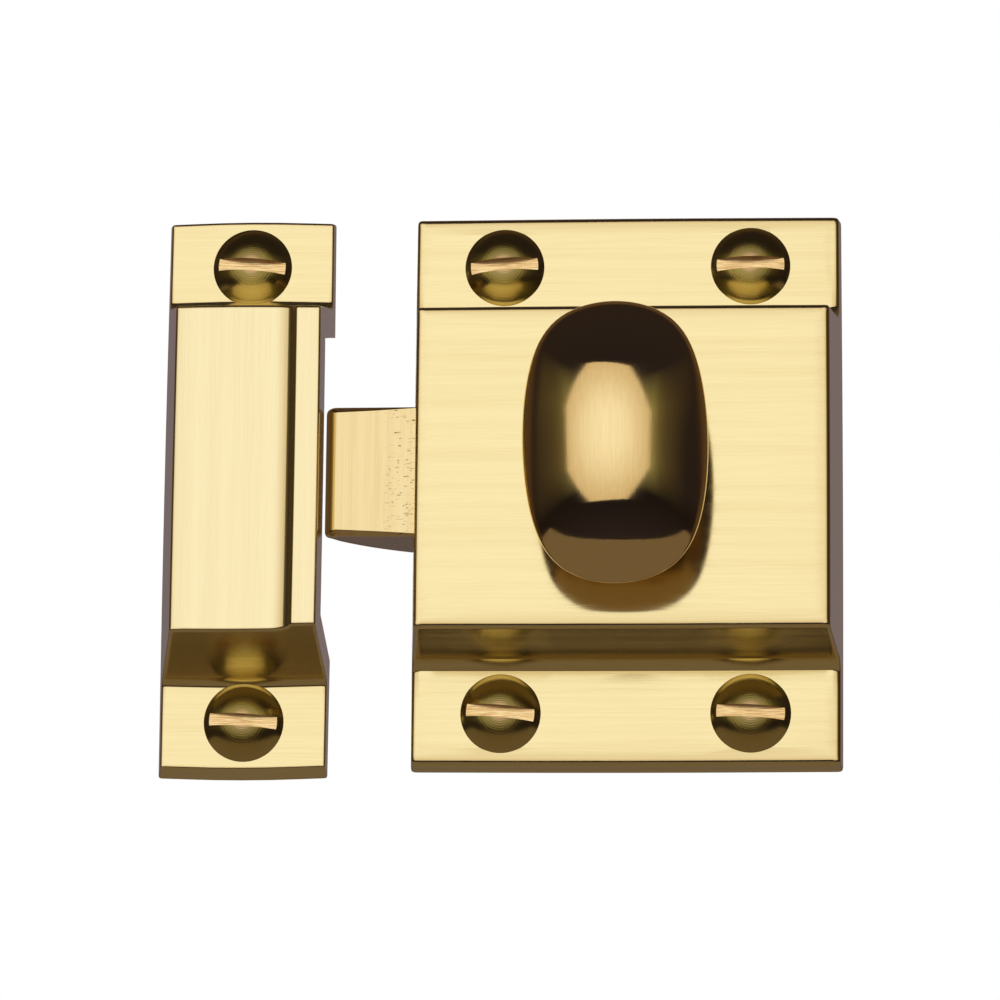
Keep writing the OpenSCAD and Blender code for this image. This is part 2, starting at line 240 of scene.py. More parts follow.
def addNode(tree, kind, links=(), **settings):
    # one node with its settings, its input values and its links
    node = tree.nodes.new("ShaderNode" + kind)
    for key, value in settings.items():
        if key.startswith("in_"):
            name = key[3:]
            node.inputs[int(name) if name.isdigit() else name.replace("_", " ")].default_value = value
        else:
            setattr(node, key, value)
    for socket, source in links:
        tree.links.new(source, node.inputs[socket])
    return node


def objectPlace(tree):
    return addNode(tree, "TexCoord").outputs["Object"]


def newMetal(name):
    material, tree = newMaterial(name)
    shader = tree.nodes["Principled BSDF"]
    shader.inputs["Metallic"].default_value = 1
    return material, tree, shader, objectPlace(tree)


def feed(tree, shader, **sources):
    # links each source to the shader's socket of that name
    for socket, source in sources.items():
        tree.links.new(source, shader.inputs[socket.replace("_", " ")])


def setRamp(ramp, stops):
    # stops are (place, colour) with the colours as hex or as one grey value
    elements = ramp.color_ramp.elements
    while len(elements) < len(stops):
        elements.new(0.5)
    for element, (place, colour) in zip(elements, stops):
        element.position = place
        element.color = linear(colour) if isinstance(colour, str) else [colour] * 3 + [1]
    return ramp


brassFinish = {
    "lineSpacing": 0.11,        # millimetres between the belt's scratches
    "lineLength": 8.0,          # millimetres
    "lineTilt": 0.16,           # degrees that the scratches' sides lean
    "anisotropy": 0.6,
    "bandScale": 0.13,          # the worn bands' pattern against the scratches'
    "bandShare": 0.45,
    "dull": (0.4, 0.68),        # where in the pattern the brass starts to be dull, and is fully so
    "roughSpread": (0.85, 1.4),
}


acrossUp, acrossSide = (0.02, 0.03, 1), (1, 0.03, 0.02)     # a little askew, as no belt runs quite straight


def spreadDirection(tree, toward):
    # a brushed surface spreads the light across its scratches, towards this direction
    across = addNode(tree, "VectorTransform", vector_type="VECTOR", convert_from="OBJECT", convert_to="WORLD")
    across.inputs[0].default_value = toward
    return across.outputs[0]


def brushedBrass(name, along, colour="#F2E0AA", streak="#EDD99F", roughness=0.1, tilt=None, toward=None):
    # cast brass, brushed in one direction on a belt and lacquered: it mirrors the light softly,
    # smeared across the scratches, with faint duller streaks along them and broader worn bands
    f = brassFinish
    material, tree, shader, place = newMetal(name)
    spacing, length = f["lineSpacing"] * millimetre, f["lineLength"] * millimetre
    stretch = [1 / spacing] * 3
    stretch["XYZ".index(along)] = 1 / length
    mapped = addNode(tree, "Mapping", [("Vector", place)], in_Scale=stretch).outputs[0]
    lines = addNode(tree, "TexNoise", [("Vector", mapped)], in_Scale=1.0, in_Detail=3.0, in_Roughness=0.6)
    bands = addNode(tree, "TexNoise", [("Vector", mapped)], in_Scale=f["bandScale"], in_Detail=1.0)
    both = addNode(tree, "Mix", [(2, lines.outputs["Fac"]), (3, bands.outputs["Fac"])], in_0=f["bandShare"])
    dull = addNode(tree, "MapRange", [("Value", both.outputs[0])], in_1=f["dull"][0], in_2=f["dull"][1])
    mixed = addNode(tree, "Mix", [("Factor", dull.outputs[0])], data_type="RGBA",
                    in_6=linear(colour), in_7=linear(streak))
    least, most = (roughness * part for part in f["roughSpread"])
    rough = addNode(tree, "MapRange", [("Value", dull.outputs[0])], in_3=least, in_4=most)
    slope = math.tan(math.radians(f["lineTilt"] if tilt is None else tilt))
    bump = addNode(tree, "Bump", [("Height", lines.outputs["Fac"])], in_Strength=1.0,
                   in_Distance=spacing * slope * 4)
    shader.inputs["Anisotropic"].default_value = f["anisotropy"]
    spread = spreadDirection(tree, toward or (acrossUp if along == "X" else acrossSide))
    feed(tree, shader, Base_Color=mixed.outputs[2], Roughness=rough.outputs[0], Normal=bump.outputs[0],
         Tangent=spread)
    return material


rubbedFinish = {
    "rubs": (-21.4, -20.3),                 # x where the rubbed part starts, and is fully rubbed
    "pits": ((0.5, 0.14, 0.14), 0.67),      # their size in millimetres, and how rare they are
    "scores": ((1.6, 0.1, 0.1), 0.71),
    "softness": (0.05, 0.04),
    "dirt": "#8A6A3C",
}


def handledBrass(name, **settings):
    # brushed brass with small casting pits and short dark scores where it rubs in the case
    f = rubbedFinish
    material = brushedBrass(name, "Z", **settings)
    tree = material.node_tree
    shader = tree.nodes["Principled BSDF"]
    place = objectPlace(tree)
    side = addNode(tree, "SeparateXYZ", [(0, place)]).outputs["X"]
    start, end = (x * millimetre for x in f["rubs"])
    rubbed = addNode(tree, "MapRange", [("Value", side)], in_1=start, in_2=end)
    before, after = f["softness"]
    marks = []
    for grain, least in (f["pits"], f["scores"]):
        spread = addNode(tree, "Mapping", [("Vector", place)], in_Scale=[1 / (g * millimetre) for g in grain])
        spots = addNode(tree, "TexNoise", [("Vector", spread.outputs[0])], in_Scale=1.0, in_Detail=2.0)
        marks.append(addNode(tree, "MapRange", [("Value", spots.outputs["Fac"])], in_1=least - before,
                             in_2=least + after))
    either = addNode(tree, "Math", [(0, marks[0].outputs[0]), (1, marks[1].outputs[0])], operation="MAXIMUM")
    dark = addNode(tree, "Math", [(0, either.outputs[0]), (1, rubbed.outputs[0])], operation="MULTIPLY")
    clean = shader.inputs["Base Color"].links[0].from_socket
    stained = addNode(tree, "Mix", [(0, dark.outputs[0]), (6, clean)], data_type="RGBA",
                      in_7=linear(f["dirt"]))
    feed(tree, shader, Base_Color=stained.outputs[2])
    return material


mopFinish = {
    "wipeWidth": 0.16, "wipeLength": 9, "wipeDepth": 0.0015,    # millimetres
    "colour": "#F1D9A0", "streak": "#EDD198", "roughness": 0.08,
}


def polishedBrass(name):
    # cast brass polished up and down on a mop and lacquered: mirrors keep sharp ends and glow out sideways
    f = mopFinish
    material, tree, shader, place = newMetal(name)
    wide, long = (1 / (f[key] * millimetre) for key in ("wipeWidth", "wipeLength"))
    mapped = addNode(tree, "Mapping", [("Vector", place)], in_Scale=(wide, wide, long)).outputs[0]
    wipes = addNode(tree, "TexNoise", [("Vector", mapped)], in_Scale=1.0, in_Detail=2.0)
    tint = addNode(tree, "MapRange", [("Value", wipes.outputs["Fac"])], in_1=0.3, in_2=0.75)
    mixed = addNode(tree, "Mix", [("Factor", tint.outputs[0])], data_type="RGBA",
                    in_6=linear(f["colour"]), in_7=linear(f["streak"]))
    bump = addNode(tree, "Bump", [("Height", wipes.outputs["Fac"])], in_Strength=1.0,
                   in_Distance=f["wipeDepth"] * millimetre)
    shader.inputs["Anisotropic"].default_value = 1
    shader.inputs["Roughness"].default_value = f["roughness"]
    feed(tree, shader, Base_Color=mixed.outputs[2], Normal=bump.outputs[0],
         Tangent=spreadDirection(tree, acrossSide))
    return material


turnedFinish = {
    "radius": 3.6, "ringSpacing": 0.2, "ringDepth": 0.012,      # millimetres
    "ringFade": [(0.3, 1.0), (0.62, 0.12)],                     # the tool's rings wear off towards the rim
    "waveRate": 20,                                             # radians in one unit of the wave texture
    "roughness": (0.17, 0.34),                                  # at the rim and at the middle
    "zones": [(0.0, "#E6C293"), (0.2, "#E0BC88"), (0.28, "#BBA766"), (0.46, "#B4A258"),
              (0.56, "#C8B26A"), (1.0, "#D0BE80")],
}


def turnedBrass(name, centre):
    # brass bar turned on a lathe and left with its rings: raw and pinkish at the middle of the head
    f = turnedFinish
    material, tree, shader, place = newMetal(name)
    moved = addNode(tree, "Mapping", [("Vector", place)], vector_type="POINT",
                    in_Location=[-centre[0] * millimetre, 0, -centre[1] * millimetre]).outputs[0]
    flat = addNode(tree, "VectorMath", [(0, moved)], operation="MULTIPLY")
    flat.inputs[1].default_value = (1, 0, 1)
    radius = addNode(tree, "VectorMath", [(0, flat.outputs[0])], operation="LENGTH")
    share = addNode(tree, "MapRange", [("Value", radius.outputs["Value"])], in_2=f["radius"] * millimetre)
    zones = setRamp(addNode(tree, "ValToRGB", [("Fac", share.outputs[0])]), f["zones"])
    rings = addNode(tree, "TexWave", [("Vector", moved)], wave_type="RINGS", rings_direction="Y",
                    in_Scale=2 * math.pi / (f["waveRate"] * f["ringSpacing"] * millimetre),
                    in_Distortion=1.5, in_Detail=2.0)
    fade = setRamp(addNode(tree, "ValToRGB", [("Fac", share.outputs[0])]), f["ringFade"])
    strength = addNode(tree, "Math", [(0, fade.outputs["Color"]), (1, rings.outputs["Fac"])],
                       operation="MULTIPLY")
    bump = addNode(tree, "Bump", [("Height", strength.outputs[0])], in_Strength=1.0,
                   in_Distance=f["ringDepth"] * millimetre)
    smooth, coarse = f["roughness"]
    rough = addNode(tree, "MapRange", [("Value", fade.outputs["Color"])], in_3=smooth, in_4=coarse)
    feed(tree, shader, Base_Color=zones.outputs["Color"], Roughness=rough.outputs[0],
         Normal=bump.outputs[0])
    return material


sawFinish = {"linesPerMillimetre": (0.7, 9, 9), "lineDepth": 0.006}     # the depth in millimetres


def sawnBrass(name, dark, light, roughness):
    # a slot cut with a saw: raw, pinkish brass with fine lines along the cut; the dark colours that the walls
    # are given are painted shade
    material, tree, shader, place = newMetal(name)
    scale = [lines / millimetre for lines in sawFinish["linesPerMillimetre"]]
    mapped = addNode(tree, "Mapping", [("Vector", place)], in_Scale=scale).outputs[0]
    lines = addNode(tree, "TexNoise", [("Vector", mapped)], in_Scale=1.0, in_Detail=3.0)
    tint = setRamp(addNode(tree, "ValToRGB", [("Fac", lines.outputs["Fac"])]), [(0.3, dark), (0.7, light)])
    bump = addNode(tree, "Bump", [("Height", lines.outputs["Fac"])], in_Strength=1.0,
                   in_Distance=sawFinish["lineDepth"] * millimetre)
    shader.inputs["Roughness"].default_value = roughness
    feed(tree, shader, Base_Color=tint.outputs["Color"], Normal=bump.outputs[0])
    return material


def steelFinish(name, colour, roughness, grain):
    # steel with fine marks of its making, grain millimetres apart
    material, tree, shader, place = newMetal(name)
    marks = addNode(tree, "TexNoise", [("Vector", place)], in_Scale=1 / (grain * millimetre), in_Detail=3.0)
    rough = addNode(tree, "MapRange", [("Value", marks.outputs["Fac"])],
                    in_3=roughness * 0.7, in_4=roughness * 1.4)
    bump = addNode(tree, "Bump", [("Height", marks.outputs["Fac"])], in_Strength=1.0,
                   in_Distance=grain * millimetre * 0.03)
    shader.inputs["Base Color"].default_value = linear(colour)
    feed(tree, shader, Roughness=rough.outputs[0], Normal=bump.outputs[0])
    return material


crosswiseBrass = brushedBrass("cast_brass_brushed_across", "X")
lengthwiseBrass = brushedBrass("cast_brass_brushed_up", "Z", "#F3E3B4", "#EEDCAB")
fettledBrass = brushedBrass("cast_brass_fettled_walls", "X", "#ECDCA4", "#E2D096", roughness=0.18, tilt=0.3,
                            toward=(0.02, 1, 0.1))
rubbedBrass = handledBrass("cast_brass_rubbed_bolt", colour="#EDD6A1", streak="#E4CA90", roughness=0.11)
mopBrass = polishedBrass("cast_brass_mop_polished")
slotBrass = sawnBrass("brass_slot_floor", "#CFA266", "#FFE2A8", 0.24)
# the slot's walls: dark brown brass, painted shade in the slot's recess
slotWallShadeBrass = sawnBrass("brass_slot_wall_painted_shade", "#7A5428", "#B08A50", 0.4)
sheetBrass = brushedBrass("rolled_brass_sheet", "Z", roughness=0.22, tilt=0.8)
platedSteel = steelFinish("zinc_plated_steel", "#C6C8CC", 0.28, 0.3)
springSteel = steelFinish("drawn_spring_wire", "#8E9197", 0.3, 0.1)
print("materials made")


# The two castings: a thin flanged slab with a raised box, all walls drafted for the mould

pastBack = 1.3           # millimetres that a block runs past the door's side before it is carved


def hollowCurve(spec, lip, depth):
    # points from the flat front up to the lip, whose own edge is rounded off
    (x1, slope1), (x2, slope2) = spec["hollowSlopes"]
    points, steps, roundSteps = [(0, 0)], 24, 7
    for i in range(steps):
        x = x2 * (i + 0.5) / steps
        slope = slope1 * x / x1 if x < x1 else slope1 + (slope2 - slope1) * (x - x1) / (x2 - x1)
        lastX, lastY = points[-1]
        points.append((lastX + x2 / steps, lastY + x2 / steps * math.tan(math.radians(slope))))
    startX, startY = points[-1]
    for i in range(1, roundSteps + 1):
        t = math.radians(slope2 * (1 - i / roundSteps))
        points.append((startX + spec["lipRound"] * (math.sin(math.radians(slope2)) - math.sin(t)),
                       startY + spec["lipRound"] * (math.cos(t) - math.cos(math.radians(slope2)))))
    endX, endY = points[-1]
    shift = lip + spec["lipRound"] * math.tan(math.radians(slope2) / 2) - endX
    # the curve ends just past the lip's top, so that no sliver is left there
    return [(x + shift, spec["lipRise"] * (1 - y / endY) - depth - hairline) for x, y in points]


def flangedBlock(spec, shrink, behind):
    # shrink draws every outer face in, behind is how far it runs past the back, all in millimetres
    left = spec["middleX"] - spec["width"] / 2 + shrink
    right = spec["middleX"] + spec["width"] / 2 - shrink
    top = spec["height"] / 2 - shrink
    drafts = ("leftDraft", "rightDraft", "endDraft")
    slopeL, slopeR, slopeE = (math.tan(math.radians(spec[draft])) for draft in drafts)
    still = left + (right - left) * slopeL / (slopeL + slopeR)

    def ratios(depth):
        # how much narrower the block is that far in front of the door
        return 1 - depth * (slopeL + slopeR) / (right - left)

    half = spec["height"] / 2 - spec["flangeLength"] - shrink
    flange, depth = spec["flange"] - shrink, spec["depth"] - shrink
    block = addBox((left, -flange, -top), (right, behind, top))
    backHalf, frontHalf = top + behind * slopeE, top - flange * slopeE
    for face, wide, high in ((1, ratios(-behind), backHalf / top), (-1, ratios(flange), frontHalf / top)):
        pick(block, "FACE", lambda place, normal: normal.y * face > 0.9)
        bpy.ops.transform.resize(value=(wide, 1, high), center_override=(still, 0, 0))
        closeEdit()
    for side in (-1, 1):
        cutAcross(block, (0, 0, side * half), (0, 0, 1))
    pick(block, "FACE", lambda place, normal: normal.y < -0.9 and abs(place.z) < half * 0.5)
    bpy.ops.mesh.extrude_region_move(TRANSFORM_OT_translate={"value": (0, flange - depth, 0)})
    bpy.ops.transform.resize(value=(ratios(depth) / ratios(flange), 1, 1 - (depth - flange) * slopeE / half),
                             center_override=(still, 0, 0))
    closeEdit()
    if spec.get("lipWidth"):
        # the front is lower than the lip, and sweeps up to it in a hollow curve
        hollow = hollowCurve(spec, right - spec["lipWidth"], depth)
        rim = left + (depth - spec["lipRise"]) * slopeL
        (fall, drop), low = spec["leftFall"], hollow[0][1]
        outside, clear = rim - fall / 2, -depth - 3
        outline = [(outside, low + drop * 1.5), (rim + fall, low)] + hollow
        outline += [(hollow[-1][0], clear), (outside, clear)]
        cut(block, prism("hollow", outline, -40, 40))     # longer than any keep
    if spec["rise"]:
        pick(block, "VERT", everything)
        bpy.ops.transform.translate(value=(0, 0, spec["rise"]))
        closeEdit()
    return block


def crown(block, spec):
    # hand finishing leaves the long walls and the ends slightly bowed
    low = Vector([min(v.co[i] for v in block.data.vertices) for i in range(3)])
    high = Vector([max(v.co[i] for v in block.data.vertices) for i in range(3)])
    for axis, parts in ((0, 6), (2, 10)):     # cut up, so that the flat faces can bend
        normal = [0, 0, 0]
        normal[axis] = 1
        for i in range(1, parts):
            point = low.copy()
            point[axis] += (high[axis] - low[axis]) * i / parts
            cutAcross(block, point, normal)
    cage = addCage((low + high) / 2, high - low, 5)
    for point in cage.data.points:
        u, w = point.co.x * 2, point.co.z * 2
        point.co_deform.x -= math.copysign(spec["crownSide"] * w * w, u) * abs(u) / cage.scale.x
        point.co_deform.z -= math.copysign(spec["crownEnd"] * u * u, w) * abs(w) / cage.scale.z
    bend(block, cage)


def carve(block, spec, node):
    # takes out of the block every hollow, hole and slot that the CAD node has
    plain = dict(spec, lipWidth=0, depth=spec["depth"] - spec["lowered"])
    plain["leftDraft"], plain["rightDraft"], plain["endDraft"] = spec["mouldDrafts"]
    voids = flangedBlock(plain, hairline, pastBack + 0.2)
    cut(voids, cadCopy(node))
    cut(block, voids)
    # the softened walls stand a hair proud of the CAD's, so the side mouth is cut through them as well
    m = spec["mouth"]
    mouth = addBox((m["from"], -m["depth"], m["middle"] - m["half"]),
                   (m["to"], m["behind"], m["middle"] + m["half"]))
    pick(mouth, "FACE", lambda place, normal: normal.y < -0.9)
    bpy.ops.transform.resize(value=(1, 1, m["narrows"]), center_override=(0, 0, m["middle"]))
    closeEdit()
    return cut(block, mouth)


caseSpec = {
    "width": 38.7, "height": 50.8, "depth": 12.1, "middleX": 0, "rise": 0,
    "flange": 2.6, "flangeLength": 9.6,
    "mouldDrafts": (6, 6, 8.5),                             # degrees: left, right and ends, as cast
    "leftDraft": 5.2, "rightDraft": 5.2, "endDraft": 7.7,   # steeper, for what buffing takes off the edges
    "lowered": 0,
    "skin": 0.02,             # the finished surface lies this far inside the CAD box
    "footWidth": 1.1, "footProfile": 0.38,                  # the hollow corner where box and flange meet
    "buffedWidth": 1.5, "buffedDrop": 0.17,                 # how the flats fall off towards their edges
    "edgeRound": 0.8, "edgeProfile": 0.75, "edgeSteps": 12,
    "crownSide": 0.1, "crownEnd": 0.08,
    "mouth": {"from": -21, "to": -17.6, "depth": 9.77, "behind": 2,
              "half": 6.02, "middle": 0.15, "narrows": 1},  # the tongue's slot
}
keepLow, keepHigh = (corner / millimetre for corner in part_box("keep"))
keepSpec = {
    "width": keepHigh.x - keepLow.x, "height": keepHigh.z - keepLow.z, "depth": -keepLow.y,
    "middleX": (keepLow.x + keepHigh.x) / 2, "rise": (keepLow.z + keepHigh.z) / 2,
    "flange": 2.4, "flangeLength": 8.5, "mouldDrafts": (11, 0, 14),
    "leftDraft": 10.5, "rightDraft": -0.4, "endDraft": 13.5,    # the wall at the mouth leans out a little
    "lipWidth": 2.1, "lipRise": 1.0, "lipRound": 0.45,
    "lowered": 1.3,           # the lip's rise and a little more: what is carved stays under the lowered front
    "hollowSlopes": ((1.3, 20), (1.88, 58)),   # millimetres from the start, and degrees there
    "skin": 0.02,
    "footWidth": 0.6, "footProfile": 0.42,
    "leftFall": (1.4, 0.16),  # how wide the front's left edge falls off, and how far
    "buffedDrop": 0,
    "edgeRound": 0.42, "edgeProfile": 0.7, "edgeSteps": 8,
    "crownSide": 0.12, "crownEnd": 0.26,
    "mouth": {"from": -27.3, "to": -25, "depth": 9.5, "behind": 1,
              "half": 15.16, "middle": -0.25, "narrows": 0.828},
}


def casting(spec, node, name, body, slotName, *materials):
    drop = spec["buffedDrop"]
    half, middle, flange = spec["height"] / 2 - spec["flangeLength"], spec["rise"], spec["flange"] - drop
    block = flangedBlock(dict(spec, flange=flange, depth=spec["depth"] - drop), spec["skin"], pastBack)
    # the edges where the box stands on its flanges
    pick(block, "EDGE", lambda a, b: abs(a.z - b.z) < 0.05 and abs(abs(a.z - middle) - half) < 0.15
         and abs(a.y + flange) < 0.1 and abs(b.y + flange) < 0.1)
    bpy.ops.mesh.bevel(offset=spec["footWidth"], segments=8, profile=spec["footProfile"], affect="EDGES",
                       clamp_overlap=False)
    closeEdit()
    if drop:
        # buffing lowers the flats a little towards their edges before it turns the corner
        pick(block, "FACE", lambda place, normal: normal.y < -0.99)
        bpy.ops.mesh.inset(thickness=spec["buffedWidth"], depth=drop)
        closeEdit()
    softEdges(block, spec["edgeRound"], spec["edgeSteps"], spec["edgeProfile"])
    crown(block, spec)
    carve(block, spec, node)
    return putInPlace(block, name, node, body, slotName, *materials)


def coat(piece, index, wanted):
    # gives the faces that wanted() says the material in that place of the list
    piece.active_material_index = index
    pick(piece, "FACE", wanted)
    bpy.ops.object.material_slot_assign()
    closeEdit()


case = casting(caseSpec, "case", "case_casting", "fixed", "case_brass", crosswiseBrass, fettledBrass)
keep = casting(keepSpec, "keep", "keep_casting", "fixed", "keep_brass",
               lengthwiseBrass, crosswiseBrass, fettledBrass)
boxEnd = (keepSpec["height"] / 2 - keepSpec["flangeLength"]) * millimetre
endWall = 0.45           # the least that an end wall's face leans up or down
coat(keep, 1, lambda place, normal: abs(place.z - keepSpec["rise"] * millimetre) > boxEnd and normal.y < -0.3)
coat(case, 1, lambda place, normal: abs(normal.z) > endWall)
coat(keep, 2, lambda place, normal: abs(normal.z) > endWall)
print("castings made", len(case.data.polygons), len(keep.data.polygons))


# The bolt, with its tongue rounded as it is filed and buffed

boltSpec = {
    "tongueRound": 0.6, "roundProfile": 0.55,
    "tipLength": 0.55, "tipShort": 0.14,      # the tip is filed short, so that it clears the keep
    "pastWall": 1,            # millimetres inside the case where the tongue's height is still read
    "roundedOn": 4,           # how much farther in its rounded edges may run
}


def makeBolt():
    bolt = cadCopy("bolt")
    low, high = (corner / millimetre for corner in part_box("bolt"))
    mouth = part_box("case")[0].x / millimetre + boltSpec["pastWall"]
    tongue = [v.co.z for v in bolt.data.vertices if v.co.x < mouth]
    top, bottom, reach = max(tongue), min(tongue), mouth + boltSpec["roundedOn"]
    pick(bolt, "VERT", lambda place: place.x < low.x + boltSpec["tipLength"])
    bpy.ops.transform.translate(value=(boltSpec["tipShort"], 0, 0))
    closeEdit()

    def rim(a, b):
        # an edge along the tongue's top or bottom, but not the one across it inside the case
        level = all(v.x < reach and min(abs(v.z - top), abs(v.z - bottom)) < 0.02 for v in (a, b))
        across = abs(a.x - b.x) < 0.01 and a.x > mouth
        return level and abs(a.z - b.z) < 0.02 and not across

    pick(bolt, "EDGE", rim)
    bpy.ops.mesh.bevel(offset=boltSpec["tongueRound"], segments=6, profile=boltSpec["roundProfile"],
                       affect="EDGES", clamp_overlap=False)
    closeEdit()
    putInPlace(bolt, "bolt_casting", "bolt", "sliding", "bolt_brass", rubbedBrass)


makeBolt()
print("bolt made")


# The knob: a flat round lens drawn out to an oval, on a short round neck

knobSpec = {
    "halfWidth": 8.0, "halfLength": 12.38, "front": 4.55, "rimRadius": 1.5,
    "centre": 20.7,                           # millimetres in front of the door
    "square": 0.16,                           # how much its sides are filled out towards the corners
    "lean": 1.3, "shift": (-0.19, 0.16),      # it isn't quite upright or quite on its spindle
    "faceSteps": 26, "rimSteps": 7,
    "neck": 4.6, "journal": 3.5,
    "neckCurve": [(-0.25, 0.1), (0, 0.35), (-0.1, 1.4), (-0.15, 2.6), (0.15, 3.8), (0.8, 4.8),
                  (1.5, 5.6), (1.5, 6.6)],    # from the neck's radius, and in front of the case
}


def makeKnob():
    # a round lens with a tight rim is drawn out to a squarish oval
    k = knobSpec
    wide, deep, rim = k["halfWidth"], k["front"], k["rimRadius"]
    ball = ((wide - rim) ** 2 + deep ** 2 - rim ** 2) / (2 * (deep - rim))
    meet = math.atan2(wide - rim, ball - deep)
    face = [meet * i / k["faceSteps"] for i in range(k["faceSteps"] + 1)]
    edge = [meet + (math.pi / 2 - meet) * i / k["rimSteps"] for i in range(1, k["rimSteps"] + 1)]
    front = [(ball * math.sin(t), deep - ball * (1 - math.cos(t))) for t in face]
    front += [(wide - rim + rim * math.sin(t), rim * math.cos(t)) for t in edge]
    profile = front + [(x, -y) for x, y in reversed(front[:-1])]
    knob = turn(drawOutline("knob", [(x, -y, 0) for x, y in profile]), 96)
    pick(knob, "VERT", everything)
    bpy.ops.transform.resize(value=(1, 1, k["halfLength"] / wide), center_override=(0, 0, 0))
    closeEdit()
    cage = addCage((0, 0, 0), (2 * wide, 2 * deep, 2 * k["halfLength"]), 7)
    for point in cage.data.points:
        x, z = point.co.x, point.co.z
        point.co_deform.x = x * (1 + k["square"] * (2 * z) ** 2)
        point.co_deform.z = z * (1 + k["square"] * (2 * x) ** 2)
    bend(knob, cage)
    pick(knob, "VERT", everything)
    bpy.ops.transform.rotate(value=math.radians(k["lean"]), orient_axis="Y", center_override=(0, 0, 0))
    bpy.ops.transform.translate(value=(k["shift"][0], -k["centre"], k["shift"][1]))
    closeEdit()
    caseFront = -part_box("case")[0].y / millimetre
    inner = -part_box("knob")[1].y / millimetre
    r, j = k["neck"], k["journal"]
    profile = [(0, inner), (j - 0.3, inner), (j, inner + 0.3), (j, caseFront + k["neckCurve"][0][1])]
    profile += [(r + wider, caseFront + out) for wider, out in k["neckCurve"]]
    profile.append((0, profile[-1][1]))
    neck = turn(drawOutline("neck", [(x, -y, 0) for x, y in profile]), 64)
    softEdges(neck, 0.12, 3)
    cut(knob, neck, "UNION")
    loose = 0.03
    spindleLow, spindleHigh = (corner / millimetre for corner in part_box("spindle"))
    socket = addBox((spindleLow.x - loose, spindleLow.y - loose, spindleLow.z - loose),
                    (spindleHigh.x + loose, 0, spindleHigh.z + loose))
    cut(knob, socket)
    putInPlace(knob, "knob_oval", "knob", "turning", "knob_brass", mopBrass)


makeKnob()
print("knob made")


# Wood screws: domed head, countersunk under it, real thread; the slot is cut last

screwSpec = {
    "head": 3.55, "dome": 1.5, "domeSteps": 16, "neck": 1.95, "plain": 2.6, "length": 16,
    "root": 1.2, "thread": 1.75, "pitch": 1.41, "turns": 8,
    "threadFoot": 0.42, "threadCrest": 0.05,  # half of the thread's width at the root and at its edge
    "point": 3.0, "pointSteps": 8,
    "slotWidth": 1.1, "slotFloor": 0.45,
}


def makeScrew():
    s = screwSpec
    ball = (s["head"] ** 2 + s["dome"] ** 2) / (2 * s["dome"])
    widest = math.asin(s["head"] / ball)
    domeAngles = [widest * i / s["domeSteps"] for i in range(s["domeSteps"] + 1)]
    dome = [(ball * math.sin(t), -s["dome"] + ball * (1 - math.cos(t))) for t in domeAngles]
    cone = s["head"] - s["neck"]
    body = dome + [(s["head"] - 0.04, 0.1), (s["neck"], cone), (s["neck"], s["plain"]),
                   (s["root"], s["plain"] + 0.5), (s["root"], s["length"] - s["point"]),
                   (0.12, s["length"] - 0.15), (0, s["length"])]
    screw = turn(drawOutline("screw", [(r, y, 0) for r, y in body]), 64)
    start, sunk = s["plain"] + 1.2, s["root"] - 0.15
    foot, crest = s["threadFoot"], s["threadCrest"]
    ridge = drawOutline("ridge", [(sunk, start - foot, 0), (s["thread"], start - crest, 0),
                                  (s["thread"], start + crest, 0), (sunk, start + foot, 0)])
    pick(ridge, "VERT", everything)
    bpy.ops.mesh.edge_face_add()
    closeEdit()
    applyModifier(ridge, "SCREW", axis="Y", angle=2 * math.pi, screw_offset=s["pitch"], iterations=s["turns"],
                  steps=32, render_steps=32, use_merge_vertices=False)
    pick(ridge, "VERT", everything)
    bpy.ops.mesh.remove_doubles(threshold=0.0005)
    closeEdit()
    # the last turns get smaller towards the point
    for i in range(s["pointSteps"]):
        edge = s["length"] - s["point"] + s["point"] * i / s["pointSteps"]
        shrink = 1 - 1 / (s["pointSteps"] + 1.5 - i)
        if pick(ridge, "VERT", lambda place: place.y > edge):
            bpy.ops.transform.resize(value=(shrink, 1, shrink), center_override=(0, 0, 0))
        closeEdit()
    pick(ridge, "VERT", everything)
    bpy.ops.mesh.fill_holes(sides=0)
    bpy.ops.mesh.normals_make_consistent(inside=False)
    closeEdit()
    cut(screw, ridge, "UNION")
    slot = addBox((-s["head"] - 1, -s["dome"] - 1, -s["slotWidth"] / 2),
                  (s["head"] + 1, -s["slotFloor"], s["slotWidth"] / 2), "slot")
    slot.data.materials.append(slotBrass)
    slot.data.materials.append(slotWallShadeBrass)
    # the slot's walls take the dark brass: painted shade
    coat(slot, 1, lambda place, normal: abs(normal.z) > 0.9)
    screw.data.materials.append(platedSteel)   # stands in until each screw gets its own brass
    cut(screw, slot)
    return screw


screwPattern = makeScrew()
print("screw made", len(screwPattern.data.polygons))


def placeScrew(node, flange, angle):
    low, high = (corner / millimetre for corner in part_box(node))
    centre = ((low.x + high.x) / 2, (low.z + high.z) / 2)
    screw = screwPattern.copy()
    screw.data = screwPattern.data.copy()
    bpy.context.scene.collection.objects.link(screw)
    screw.rotation_euler = (0, -math.radians(angle), 0)
    screw.location = (centre[0], -flange, centre[1])
    screw.data.materials[0] = turnedBrass("turned_brass_" + node, centre)
    putInPlace(screw, node + "_threaded", node, "fixed", "screw_brass")


# degrees that each slot is turned, as the screws were left
slotAngles = {"case_screw_1": 4, "case_screw_2": 1, "case_screw_3": -5, "case_screw_4": -3,
              "keep_screw_1": -4, "keep_screw_2": -3.5}
for screwNode, slotAngle in slotAngles.items():
    inKeep = screwNode.startswith("keep")
    placeScrew(screwNode, keepSpec["flange"] if inKeep else caseSpec["flange"], slotAngle)
bpy.data.objects.remove(screwPattern)
print("screws placed")


# The works behind the cover: CAD pieces with their edges broken

